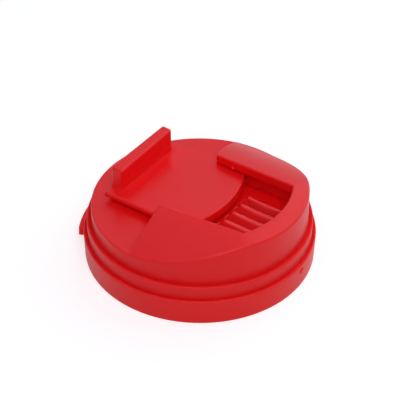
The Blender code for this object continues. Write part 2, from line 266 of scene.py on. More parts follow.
@dataclass
class SurfaceNet:
    """A net of four-sided faces over the zero surface of a field.

    Space is split into small cubes. Each cube that the surface crosses gets one point, the mean of the
    crossings on its twelve edges, and each cube edge that is crossed joins the points of the four cubes
    round it. The points then move along the field's slope until the field is zero.
    """

    field: Field
    low: Sequence[float]
    high: Sequence[float]
    step: float
    margin: int = 3
    slab_rows: int = 24
    triangle_limit: int = 190_000
    settle_rounds: int = 3
    least_steepness: float = 0.25
    slope_reach: float = 0.02
    bend_reach: float = 0.45
    shut_reach: float = 3.0

    def sample(self) -> Array:
        """The field at the corners of all cubes, which go a little past the box, in slabs to save memory.

        Returns:
            The field's values, one for each corner.
        """
        past = self.margin * self.step
        self.marks = [
            np.arange(a - past, b + past + self.step, self.step) for a, b in zip(self.low, self.high)
        ]
        slabs = np.array_split(self.marks[0], max(1, len(self.marks[0]) // self.slab_rows))
        return np.concatenate(
            [self.field(*np.meshgrid(slab, *self.marks[1:], indexing="ij")) for slab in slabs]
        )

    def points_in(self, values: Array, cells: Array) -> Array:
        """The mean of the surface's crossings in each cube.

        Args:
            values: the field at the cubes' corners.
            cells: three rows of indices, of the cubes that the surface crosses.

        Returns:
            One point for each cube.
        """
        corners = np.array(np.meshgrid([0, 1], [0, 1], [0, 1], indexing="ij")).reshape(3, -1).T
        edges = [
            (a, a + offset) for a in corners for offset in np.eye(3, dtype=int) if (a + offset).max() < 2
        ]
        total = np.zeros((cells.shape[1], 3))
        count = np.zeros(cells.shape[1])
        for start, end in edges:
            first = values[tuple(cells + start[:, None])]
            second = values[tuple(cells + end[:, None])]
            crossed = (first < 0) != (second < 0)
            share = np.where(crossed, first / np.where(crossed, first - second, 1), 0)
            total += crossed[:, None] * (start + share[:, None] * (end - start))
            count += crossed
        origin = np.array([mark[0] for mark in self.marks])
        return origin + self.step * (cells.T + total / count[:, None])

    def faces_of(self, inside: Array, number: Array) -> Array:
        """Faces round every crossed cube edge, turned outwards.

        Args:
            inside: whether each cube corner is in the plastic.
            number: the point's number in each cube.

        Returns:
            Four point numbers for each face.
        """
        found = []
        for axis in range(3):
            along = np.moveaxis(inside, (axis, (axis + 1) % 3, (axis + 2) % 3), (0, 1, 2))
            cells = np.moveaxis(number, (axis, (axis + 1) % 3, (axis + 2) % 3), (0, 1, 2))
            crossed = along[:-1, 1:-1, 1:-1] != along[1:, 1:-1, 1:-1]
            ring = [cells[:, :-1, :-1], cells[:, 1:, :-1], cells[:, 1:, 1:], cells[:, :-1, 1:]]
            quads = np.stack([corner[crossed] for corner in ring], axis=1)
            outwards = along[:-1, 1:-1, 1:-1][crossed]
            found.append(np.where(outwards[:, None], quads, quads[:, ::-1]))
        return np.concatenate(found)

    def slope(self, points: Array) -> Array:
        """The field's slope at points, from differences over a short reach.

        Args:
            points: where the slope is wanted.

        Returns:
            One slope for each point.
        """
        reach = self.slope_reach * np.eye(3)
        rises = [self.field(*(points + r).T) - self.field(*(points - r).T) for r in reach]
        return np.stack(rises, axis=1) / (2 * self.slope_reach)

    def bend(self, points: Array) -> Array:
        """How sharply the surface bends: above zero on outer edges, below zero in inner corners.

        Args:
            points: points of the surface.

        Returns:
            One value for each point.
        """
        reach = self.bend_reach * np.eye(3)
        around = sum(self.field(*(points + r).T) + self.field(*(points - r).T) for r in reach)
        return (around - 2 * len(reach) * self.field(*points.T)) / self.bend_reach

    def shut_in(self, points: Array, outwards: Array) -> Array:
        """How far the surface shuts a point in: 0 where it is open, 1 at the foot of an inner corner."""
        room = self.field(*(points + self.shut_reach * outwards).T) / self.shut_reach
        return np.clip(1 - room, 0, 1)

    def settled(self, points: Array) -> Array:
        """Points moved along the field's slope, a few times, until the field is zero.

        Args:
            points: points near the surface.

        Returns:
            Points on the surface.
        """
        for _ in range(self.settle_rounds):
            slope = self.slope(points)
            steepness = np.maximum((slope**2).sum(axis=1), self.least_steepness)
            move = np.clip(self.field(*points.T) / steepness, -self.step / 2, self.step / 2)
            points = points - move[:, None] * slope
        return points

    def thinned(self, points: Array, faces: Array) -> tuple[Array, Array]:
        """The net with fewer faces where the surface is flat, if it has too many.

        Args:
            points: the net's points.
            faces: its four-sided faces.

        Returns:
            The points that are left, and the triangles or faces between them.
        """
        if 2 * len(faces) <= self.triangle_limit:
            return points, faces
        net = write_mesh("fine_net", points, faces)
        thinning = net.modifiers.new("thinning", "DECIMATE")
        thinning.ratio = self.triangle_limit / (2 * len(faces))
        evaluated = net.evaluated_get(bpy.context.evaluated_depsgraph_get())
        mesh = evaluated.to_mesh()
        mesh.calc_loop_triangles()
        places = np.empty(3 * len(mesh.vertices), np.float32)
        corners = np.empty(3 * len(mesh.loop_triangles), np.int32)
        mesh.vertices.foreach_get("co", places)
        mesh.loop_triangles.foreach_get("vertices", corners)
        evaluated.to_mesh_clear()
        bpy.data.meshes.remove(net.data)
        return self.settled(places.reshape(-1, 3) / MILLIMETRE), corners.reshape(-1, 3)

    def lay(self, name: str) -> bpy.types.Object:
        """Lay the net, settle it and write it as a mesh, with how it bends and is shut in as attributes.

        Args:
            name: name of the object.

        Returns:
            The object.
        """
        values = self.sample()
        inside = values < 0
        ends = (slice(None, -1), slice(1, None))
        corners = [inside[i, j, k] for i in ends for j in ends for k in ends]
        crossed = np.logical_or.reduce(corners) & ~np.logical_and.reduce(corners)
        cells = np.array(np.nonzero(crossed))
        number = np.full(crossed.shape, -1)
        number[crossed] = np.arange(cells.shape[1])
        points = self.settled(self.points_in(values, cells))
        points, faces = self.thinned(points, self.faces_of(inside, number))
        slope = self.slope(points)
        outwards = slope / np.maximum(np.linalg.norm(slope, axis=1), TINY)[:, None]
        piece = write_mesh(name, points, faces, outwards)
        # The finish paints a highlight on outer edges from the bend, and shade in inner corners from how
        # far a point is shut in.
        write_values(piece, "bend", self.bend(points))
        write_values(piece, "shut_in", self.shut_in(points, outwards))
        return piece


def write_mesh(name: str, points: Array, faces: Array, outwards: Array | None = None) -> bpy.types.Object:
    """A smooth mesh object at the origin, from points in millimetres.

    Args:
        name: name of the object.
        points: one row for each point.
        faces: one row of point numbers for each face.
        outwards: outward directions at the points, where they are known exactly.

    Returns:
        The object, linked to the scene.
    """
    mesh = bpy.data.meshes.new(name)
    mesh.from_pydata(points * MILLIMETRE, [], faces)
    mesh.polygons.foreach_set("use_smooth", np.ones(len(faces), bool))
    mesh.update()
    if outwards is not None:
        mesh.normals_split_custom_set_from_vertices(outwards)
    piece = bpy.data.objects.new(name, mesh)
    bpy.context.scene.collection.objects.link(piece)
    return piece


def write_values(piece: bpy.types.Object, name: str, values: Array) -> None:
    """Keep a value at every point as an attribute, for the finish to read."""
    attribute = piece.data.attributes.new(name, "FLOAT", "POINT")
    attribute.data.foreach_set("value", values.astype(np.float32))


def register(piece: bpy.types.Object, node: str, body: Body) -> bpy.types.Object:
    """Hang a piece on its body's empty and hide the CAD node that it takes the place of.

    Args:
        piece: the piece.
        node: the CAD node that it replaces.
        body: the body that it moves with.

    Returns:
        The piece.
    """
    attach(piece, body.value)
    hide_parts(node)
    LOG.info("%s: %d faces, on %s", piece.name, len(piece.data.polygons), body.value)
    return piece


class Wire:
    """A shader socket that can be used in sums."""

    def __init__(self, graph: "Graph", socket: bpy.types.NodeSocket) -> None:
        """Keep the socket with the graph that it belongs to."""
        self.graph = graph
        self.socket = socket

    def maths(self, operation: str, first: "Wire | float", second: "Wire | float") -> "Wire":
        """A Math node on two values."""
        return self.graph.node("ShaderNodeMath", {"operation": operation}, {0: first, 1: second})

    def __add__(self, other: "Wire | float") -> "Wire":
        """This value plus another."""
        return self.maths("ADD", self, other)

    def __radd__(self, other: float) -> "Wire":
        """A number plus this value."""
        return self.maths("ADD", other, self)

    def __sub__(self, other: "Wire | float") -> "Wire":
        """This value less another."""
        return self.maths("SUBTRACT", self, other)

    def __rsub__(self, other: float) -> "Wire":
        """A number less this value."""
        return self.maths("SUBTRACT", other, self)

    def __mul__(self, other: "Wire | float") -> "Wire":
        """This value times another."""
        return self.maths("MULTIPLY", self, other)

    def __rmul__(self, other: float) -> "Wire":
        """A number times this value."""
        return self.maths("MULTIPLY", other, self)

    def held(self, low: float, high: float) -> "Wire":
        """This value kept between two limits."""
        return self.maths("MINIMUM", self.maths("MAXIMUM", self, low), high)


class Graph:
    """A material's or a world's nodes."""

    def __init__(self, owner: bpy.types.Material | bpy.types.World) -> None:
        """Start with an empty node tree.

        Args:
            owner: the material or the world.
        """
        owner.use_nodes = True
        self.tree = owner.node_tree
        self.tree.nodes.clear()

    def node(
        self,
        kind: str,
        settings: Mapping[str, object] | None = None,
        values: Mapping[str | int, object] | None = None,
        output: str | int = 0,
    ) -> Wire:
        """Add a node.

        Args:
            kind: the node's type.
            settings: the node's own settings, which are set first.
            values: numbers, colours or wires for its inputs.
            output: the output that is wanted.

        Returns:
            That output.
        """
        made = self.tree.nodes.new(kind)
        for key, setting in (settings or {}).items():
            setattr(made, key, setting)
        for key, value in (values or {}).items():
            if isinstance(value, Wire):
                self.tree.links.new(value.socket, made.inputs[key])
            else:
                made.inputs[key].default_value = value
        outputs = made.outputs
        return Wire(self, outputs[output]) if len(outputs) else Wire(self, None)

    def mixed(self, share: Wire, first: Colour | Wire, second: Colour | Wire) -> Wire:
        """A colour between two others.

        Args:
            share: 0 for the first colour, 1 for the second.
            first: one colour.
            second: the other colour.

        Returns:
            The mixed colour.
        """
        ends = [end if isinstance(end, Wire) else (*end, 1.0) for end in (first, second)]
        values = {"Factor": share, **dict(zip(MIX_COLOURS, ends))}
        return self.node("ShaderNodeMix", {"data_type": "RGBA"}, values, MIX_RESULT)

    def noise(self, place: Wire, scale: float, detail: float = 2.0) -> Wire:
        """A cloudy value round one half, at a scale per metre."""
        values = {"Vector": place, "Scale": scale, "Detail": detail}
        return self.node("ShaderNodeTexNoise", {}, values, "Fac")


@dataclass(frozen=True)
class MouldedPlastic:
    """Satin moulded plastic: a slightly cloudy colour, a fine grain, a painted highlight on outer edges and
    painted shade in inner corners, which are also rougher.
    """

    name: str
    colour: Colour
    cloud_colour: Colour
    # Edge colour: a painted highlight, a lighter red laid on outer edges.
    painted_highlight_colour: Colour
    # Corner colour: painted shade, a darker red laid at the foot of inner corners.
    painted_shade_colour: Colour
    gloss: float = 0.30
    roughness: float = 0.36
    roughness_spread: float = 0.10
    grain_per_metre: float = 2600.0
    grain_detail: float = 1.0
    grain_strength: float = 0.35
    grain_height: float = 0.00002
    cloud_per_metre: float = 26.0
    smear_per_metre: float = 160.0
    smear_detail: float = 4.0
    # Share of the painted edge highlight at the sharpest outer edges.
    painted_highlight_share: float = 0.18
    # Share of the painted corner shade where a point is fully shut in.
    painted_shade_share: float = 0.12
    dull_roughness: float = 0.4
    depth_share: float = 0.5
    depth_reach: Colour = (1.0, 0.15, 0.1)
    depth_scale: float = 0.004

    def material(self) -> bpy.types.Material:
        """The finish as a material.

        Returns:
            The material.
        """
        made = bpy.data.materials.new(self.name)
        graph = Graph(made)
        place = graph.node("ShaderNodeTexCoord", output="Object")
        cloud = graph.noise(place, self.cloud_per_metre)
        smear = graph.noise(place, self.smear_per_metre, self.smear_detail)
        grain = graph.noise(place, self.grain_per_metre, self.grain_detail)
        bend = graph.node("ShaderNodeAttribute", {"attribute_name": "bend"}, output="Fac")
        # Painted highlight: outer edges, found from the bend and broken up by noise, take a lighter red.
        painted_highlight = (bend * smear).held(0.0, 1.0) * self.painted_highlight_share
        shut_in = graph.node("ShaderNodeAttribute", {"attribute_name": "shut_in"}, output="Fac")
        # Painted shade: a darker red where the surface shuts a point in, at the foot of inner corners.
        painted_shade = shut_in * self.painted_shade_share
        colour = graph.mixed(cloud, self.colour, self.cloud_colour)
        colour = graph.mixed(painted_highlight, colour, self.painted_highlight_colour)
        colour = graph.mixed(painted_shade, colour, self.painted_shade_colour)
        varied = (smear + cloud - 2 * NOISE_MIDDLE) * self.roughness_spread
        roughness = self.roughness + varied + shut_in * self.dull_roughness
        bump = {"Height": grain, "Strength": self.grain_strength, "Distance": self.grain_height}
        surface = {
            "Base Color": colour,
            "Roughness": roughness.held(0.0, 1.0),
            "Specular IOR Level": self.gloss,
            "Subsurface Weight": self.depth_share,
            "Subsurface Radius": self.depth_reach,
            "Subsurface Scale": self.depth_scale,
            "Normal": graph.node("ShaderNodeBump", {}, bump),
        }
        shader = graph.node("ShaderNodeBsdfPrincipled", {}, surface)
        graph.node("ShaderNodeOutputMaterial", {}, {"Surface": shader})
        return made


@dataclass(frozen=True)
class SoftSilicone:
    """Milky silicone with a dusty bloom."""

    name: str
    colour: Colour
    dusty_colour: Colour
    roughness: float = 0.52
    roughness_spread: float = 0.2
    dust_per_metre: float = 220.0
    dust_detail: float = 5.0

    def material(self) -> bpy.types.Material:
        """The finish as a material.

        Returns:
            The material.
        """
        made = bpy.data.materials.new(self.name)
        graph = Graph(made)
        place = graph.node("ShaderNodeTexCoord", output="Object")
        dust = graph.noise(place, self.dust_per_metre, self.dust_detail)
        surface = {
            "Base Color": graph.mixed(dust, self.colour, self.dusty_colour),
            "Roughness": self.roughness + (dust - NOISE_MIDDLE) * self.roughness_spread,
        }
        shader = graph.node("ShaderNodeBsdfPrincipled", {}, surface)
        graph.node("ShaderNodeOutputMaterial", {}, {"Surface": shader})
        return made


@dataclass
class Moulding(ABC):
    """A moulded piece, which takes the place of one CAD node."""

    name: ClassVar[str]
    node: ClassVar[str]
    body: ClassVar[Body]
    slot: ClassVar[Slot]

    plan: LidPlan
    step: float = 0.42

    @abstractmethod
    def field(self, x: Array, y: Array, z: Array) -> Array:
        """Field of the whole piece."""

    def build(self, finish: MouldedPlastic) -> bpy.types.Object:
        """Lay a net over the field in the CAD node's box, then dress and register the piece.

        Args:
            finish: the piece's finish.

        Returns:
            The piece.
        """
        low, high = (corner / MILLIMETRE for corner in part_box(self.node))
        piece = SurfaceNet(self.field, low, high, self.step).lay(self.name)
        piece.data.materials.append(finish.material())
        return register(piece, self.node, self.body)


@dataclass
class LidShell(Moulding):
    """Skirt, ring, crown, deck and roof, moulded as one piece."""

    name: ClassVar[str] = "moulded_lid"
    node: ClassVar[str] = "lid_shell"
    body: ClassVar[Body] = Body.LID
    slot: ClassVar[Slot] = Slot.SHELL

    ledge_round: float = 0.5
    ledge_fillet: float = 0.3
    ledge_fall: float = 0.8
    rim_round: float = 0.7
    lip_round: float = 0.7
    roof_fillet: float = 0.35
    hidden_round: float = 0.2
    ring_wall: float = 1.8
    seat_thickness: float = 2.3
    lead_in: float = 1.0
    bead_reach: float = 0.6
    bead_slope: float = 1.2
    lug_reach: float = 2.8
    lug_lean: float = 0.05
    lug_low: float = 2.8
    lug_high: float = 6.9
    lug_half_angle: float = math.radians(32)
    gate_angle: float = math.radians(2.2)
    gate_height: float = 7.8
    gate_radius: float = 0.9
    gate_width: float = 0.35
    gate_depth: float = 0.6
    nub_at: tuple[float, float, float] = (2.7, 18.5, 27.4)
    nub_radius: float = 0.65
    axis_guard: float = 1.0

    def outside(self, x: Array, y: Array, z: Array) -> Array:
        """Field of the turned outside: skirt, ring and crown stepping in, with rounded ledges.

        Each step is a cylinder with a rounded top edge. Its ledge falls towards the wall behind it, and a
        small fillet fills the corner there.

        Args:
            x, y, z: where the field is wanted.

        Returns:
            The outside's field.
        """
        plan = self.plan
        radius = np.hypot(x, y)
        flare = plan.skirt_flare * np.clip(z / plan.skirt_height, 0, 1)
        skirt_side, ring_side = radius - plan.skirt_radius - flare, radius - plan.ring_radius
        skirt = meet(skirt_side, self.ledge(skirt_side, z - plan.skirt_height), self.ledge_round)
        ring = meet(ring_side, self.ledge(ring_side, z - plan.ring_top), self.ledge_round)
        stepped = join(skirt, ring, self.ledge_fillet)
        stepped = join(stepped, radius - plan.crown_at(z), self.ledge_fillet)
        return meet(stepped, -z, self.ledge_round)

    def ledge(self, side: Array, above: Array) -> Array:
        """Field under a ledge, from how far outside its wall and above its edge a point is."""
        inwards = np.maximum(-side - self.ledge_round, 0)
        return (above + self.ledge_fall * inwards) / math.hypot(1, self.ledge_fall)

    def channel(self, x: Array, y: Array) -> tuple[Array, Array]:
        """Plan distance from the channel between the lips, and the x of the nearest edge point.

        Beside the channel the distance is square to its side, past the end it is radial, and round the
        corner between them it is measured from the corner.

        Args:
            x, y: where the distance is wanted.

        Returns:
            The distance, below zero in the channel, and the x of the edge.
        """
        plan = self.plan
        across = np.abs(y)
        radius = np.hypot(x, y)
        taper = plan.lip_taper / (plan.corner_x - plan.roof_start)
        lean = math.hypot(1, taper)
        side = (across - plan.channel_start_half + taper * (x - plan.roof_start)) / lean
        past = ((x - plan.corner_x) - taper * (across - plan.channel_end_half)) / lean
        end = radius - plan.channel_end
        corner = np.hypot(x - plan.corner_x, across - plan.channel_end_half)
        beside = across * plan.corner_x > x * plan.channel_end_half
        away = np.where(beside, np.where(past > 0, corner, side), end)
        edge_x = np.where(past > 0, plan.corner_x, x - plan.roof_skew * side)
        edge_x = np.where(beside, edge_x, x * plan.channel_end / np.maximum(radius, self.axis_guard))
        return np.where((side < 0) & (end < 0), np.maximum(side, end), away), edge_x

    def roof(self, x: Array, y: Array, z: Array, wall: float = 0.0) -> Array:
        """Field under the roof, which falls outwards from the channel's edge and starts at a skewed face.

        Past the channel's end it falls evenly. Beside the channel it is domed and falls less, and least on
        the +Y side.

        Args:
            x, y, z: where the field is wanted.
            wall: how far inside the roof's own faces.

        Returns:
            The roof's field, still without its channel.
        """
        plan = self.plan
        away, edge_x = self.channel(x, y)
        beside = np.clip(y / plan.channel_start_half, -1, 1)
        rear, near = (beside**2 + beside) / 2, (beside**2 - beside) / 2
        dome = (rear * plan.roof_dome_rear + near * plan.roof_dome_near) * np.maximum(away, 0)
        fall_near = plan.roof_fall_near - plan.roof_twist * (x + plan.roof_start)
        fall = (1 - beside**2) * plan.roof_fall + dome + rear * plan.roof_fall_rear + near * fall_near
        top = (z - plan.edge_at(edge_x) + fall * away) / math.hypot(1, plan.roof_fall) + wall
        skew = plan.roof_skew + plan.roof_turn * beside
        start = plan.roof_start + skew * (np.abs(y) - plan.channel_start_half) - x + wall
        return meet(top, start, self.lip_round)

    def top(self, x: Array, y: Array, z: Array) -> Array:
        """Field of all that lies under the deck or the roof, with the channel and its groove taken out.

        Args:
            x, y, z: where the field is wanted.

        Returns:
            The field under the deck and the roof.
        """
        plan = self.plan
        radius = np.hypot(x, y)
        roof = meet(self.roof(x, y, z), -self.channel(x, y)[0], self.lip_round)
        groove_plan = largest(
            np.abs(y) - plan.slide_half - plan.side_gap, radius - plan.channel_end - plan.end_undercut
        )
        groove = np.maximum(groove_plan, z - plan.edge_at(x) + plan.lip_thickness)
        return join(z - plan.deck_top, meet(roof, -groove, self.hidden_round), self.roof_fillet)

    def hollow(self, x: Array, y: Array, z: Array) -> Array:
        """Field of the space inside: for the cup's rim, under the deck, and inside each side of the roof.

        Args:
            x, y, z: where the field is wanted.

        Returns:
            The hollow's field.
        """
        plan = self.plan
        radius = np.hypot(x, y)
        bore = plan.ring_radius - self.ring_wall + np.maximum(self.lead_in - z, 0) / 2
        mouth = np.maximum(radius - bore, z - plan.ring_top + self.seat_thickness)
        bead_middle = plan.floor_under - plan.fit_gap - self.bead_reach
        bead = np.maximum(self.bead_reach - self.bead_slope * np.abs(z - bead_middle), 0)
        upper = np.maximum(radius - plan.crown_bore + bead, z - plan.deck_under)
        collar = np.maximum(plan.pad_outline(x, y), plan.deck_under - plan.collar_drop - z)
        beside = plan.slide_half + plan.side_gap + plan.wall - np.abs(y)
        within = radius - plan.crown_at(z) + plan.wall
        roof = largest(beside, self.roof(x, y, z, plan.wall), within, plan.floor_top - z)
        return np.minimum(np.minimum(mouth, np.maximum(upper, -collar)), roof)

    def openings(self, x: Array, y: Array, z: Array) -> Array:
        """Field of what goes through the deck: the pour window, and the slot for the slide's legs.

        Args:
            x, y, z: where the field is wanted.

        Returns:
            The openings' field.
        """
        plan = self.plan
        through = between(z, plan.floor_top, plan.slide_low)
        window = round_ended(x, y, plan.window_half, plan.window_start, plan.window_end)
        run = plan.leg_length / 2 + plan.side_gap
        slot = np.maximum(
            np.abs(y) - plan.leg_half - plan.fit_gap,
            between(x, plan.leg_middle - run, plan.leg_middle + plan.slide_travel + run),
        )
        return np.maximum(np.minimum(window, slot), through)

    def lug(self, x: Array, y: Array, z: Array) -> Array:
        """Field of the lift lug: a curved block at the skirt's back, which reaches furthest at its foot.

        Args:
            x, y, z: where the field is wanted.

        Returns:
            The lug's field.
        """
        radius = np.hypot(x, y)
        angle = np.arctan2(np.abs(y), -x)
        outer = radius - self.plan.skirt_radius - self.lug_reach + self.lug_lean * (z - self.lug_low)
        ends = radius * (angle - self.lug_half_angle)
        ring = np.maximum(outer, self.plan.skirt_radius - self.ring_wall / 2 - radius)
        block = meet(ring, between(z, self.lug_low, self.lug_high), self.ledge_round)
        return meet(block, ends, self.ledge_round)

    def gate_mark(self, x: Array, y: Array, z: Array) -> Array:
        """Depth of the mark that the mould's gate leaves on the skirt: a bell-shaped groove round a spot.

        Args:
            x, y, z: where the depth is wanted.

        Returns:
            The depth, which is zero off the skirt.
        """
        around = self.plan.skirt_radius * (np.arctan2(y, x) - self.gate_angle)
        off = (np.hypot(around, z - self.gate_height) - self.gate_radius) / self.gate_width
        on_skirt = np.hypot(x, y) > self.plan.skirt_radius - self.ring_wall / 2
        return np.where(on_skirt, self.gate_depth * np.exp(-(off**2)), 0)

    def field(self, x: Array, y: Array, z: Array) -> Array:
        """Field of the whole shell.

        Args:
            x, y, z: where the field is wanted.

        Returns:
            The shell's field.
        """
        shell = meet(self.outside(x, y, z), self.top(x, y, z), self.rim_round)
        shell = meet(shell, -self.hollow(x, y, z), self.hidden_round)
        shell = meet(shell, -self.openings(x, y, z), self.hidden_round)
        shell = join(shell, self.lug(x, y, z), self.ledge_fillet)
        nub = np.sqrt(sum((v - c) ** 2 for v, c in zip((x, y, z), self.nub_at))) - self.nub_radius
        return join(shell, nub, self.hidden_round) + self.gate_mark(x, y, z)


@dataclass
class ThumbSlide(Moulding):
    """Sliding cover with its thumb tab, runners and hooked legs."""

    name: ClassVar[str] = "thumb_slide"
    node: ClassVar[str] = "slide_plate"
    body: ClassVar[Body] = Body.SLIDE
    slot: ClassVar[Slot] = Slot.SLIDE

    step: float = 0.3
    edge_round: float = 0.6
    edge_spread: float = 0.3
    tab_round: float = 0.9
    tab_fillet: float = 0.05
    tab_thickness: float = 4.75
    tab_taper: float = 0.4
    tab_sink: float = 0.3
    tab_rise: float = 0.6
    tab_slope: float = 0.06
    tab_margin: float = 2.6
    tab_setback: float = 0.5
    runner_inset: float = 1.4
    runner_width: float = 1.8
    rib_round: float = 0.3
    rib_fillet: float = 0.2
    leg_slit: float = 1.2
    stem_round: float = 0.15
    hook_round: float = 0.25
    hook_reach: float = 1.5

    def plate(self, x: Array, y: Array, z: Array) -> Array:
        """Field of the cover: a strip with a round nose, with its edges rounded, less so on the +Y side.

        Args:
            x, y, z: where the field is wanted.

        Returns:
            The cover's field.
        """
        plan = self.plan
        outline = round_ended(
            x, y, plan.slide_half, plan.slide_back, plan.nose_radius, plan.slide_nose - plan.nose_radius
        )
        radius = self.edge_round - self.edge_spread * np.clip(y / plan.slide_half, -1, 1)
        return meet(outline, between(z, plan.slide_low, plan.slide_top), radius)

    def tab(self, x: Array, y: Array, z: Array) -> Array:
        """Field of the thumb tab: a rounded wall, a little thinner and higher at its +Y end.

        The wall is a box in coordinates that are stretched along X and sheared along Z as y grows.

        Args:
            x, y, z: where the field is wanted.

        Returns:
            The tab's field.
        """
        plan = self.plan
        front = plan.slide_back + self.tab_setback + self.tab_thickness
        half = plan.channel_start_half - self.tab_margin
        along = np.clip(y / half, -1, 1)
        across = (x - front) * self.tab_thickness / (self.tab_thickness - self.tab_taper * along)
        sheared = z - self.tab_rise * along + self.tab_slope * np.clip(across + self.tab_thickness, 0, None)
        low = (-self.tab_thickness, -half, plan.slide_low + self.tab_round)
        high = (0.0, half, plan.tab_top - self.tab_sink)
        return rounded_box(across, y, sheared, low, high, self.tab_round)

    def runners(self, x: Array, y: Array, z: Array) -> Array:
        """Field of the two ribs that carry the cover on the deck.

        Args:
            x, y, z: where the field is wanted.

        Returns:
            The runners' field.
        """
        plan = self.plan
        outer = plan.slide_half - self.runner_inset
        front = plan.slide_nose - plan.nose_rise - self.runner_inset
        low = (plan.slide_back + self.runner_inset, outer - self.runner_width, plan.deck_top + plan.fit_gap)
        high = (front, outer, plan.slide_low + plan.slide_thickness / 2)
        return rounded_box(x, np.abs(y), z, low, high, self.rib_round)

    def nose_rib(self, x: Array, y: Array, z: Array) -> Array:
        """Field of the rib along the round nose, which comes down as far as the runners do.

        Args:
            x, y, z: where the field is wanted.

        Returns:
            The rib's field.
        """
        plan = self.plan
        away = np.hypot(x - plan.slide_nose + plan.nose_radius, y) - plan.nose_radius
        strip = largest(between(away, -self.runner_width, 0), np.abs(y) - plan.slide_half, -x)
        height = between(z, plan.deck_top + plan.fit_gap, plan.slide_low + plan.slide_thickness / 2)
        return meet(strip, height, self.rib_round)

    def legs(self, x: Array, y: Array, z: Array) -> Array:
        """Field of the two sprung legs, split by a slit, with hooks that go under the deck.

        Args:
            x, y, z: where the field is wanted.

        Returns:
            The legs' field.
        """
        plan = self.plan
        back, front = plan.leg_middle - plan.leg_length / 2, plan.leg_middle + plan.leg_length / 2
        hook_top = plan.hook_low + plan.hook_thickness
        stem_top = plan.slide_low + plan.slide_thickness / 2
        stem_low, stem_high = (back, -plan.leg_half, plan.hook_low), (front, plan.leg_half, stem_top)
        hook_half = plan.leg_half + self.hook_reach
        hook_low, hook_high = (back, -hook_half, plan.hook_low), (front, hook_half, hook_top)
        stem = rounded_box(x, y, z, stem_low, stem_high, self.stem_round)
        hook = rounded_box(x, y, z, hook_low, hook_high, self.hook_round)
        slit = np.maximum(np.abs(y) - self.leg_slit / 2, z - plan.deck_top)
        return np.maximum(np.minimum(stem, hook), -slit)

    def field(self, x: Array, y: Array, z: Array) -> Array:
        """Field of the whole slide.

        Args:
            x, y, z: where the field is wanted.

        Returns:
            The slide's field.
        """
        slide = join(self.plate(x, y, z), self.tab(x, y, z), self.tab_fillet)
        slide = join(slide, self.runners(x, y, z), self.rib_fillet)
        slide = np.minimum(slide, self.nose_rib(x, y, z))
        return join(slide, self.legs(x, y, z), self.rib_fillet)


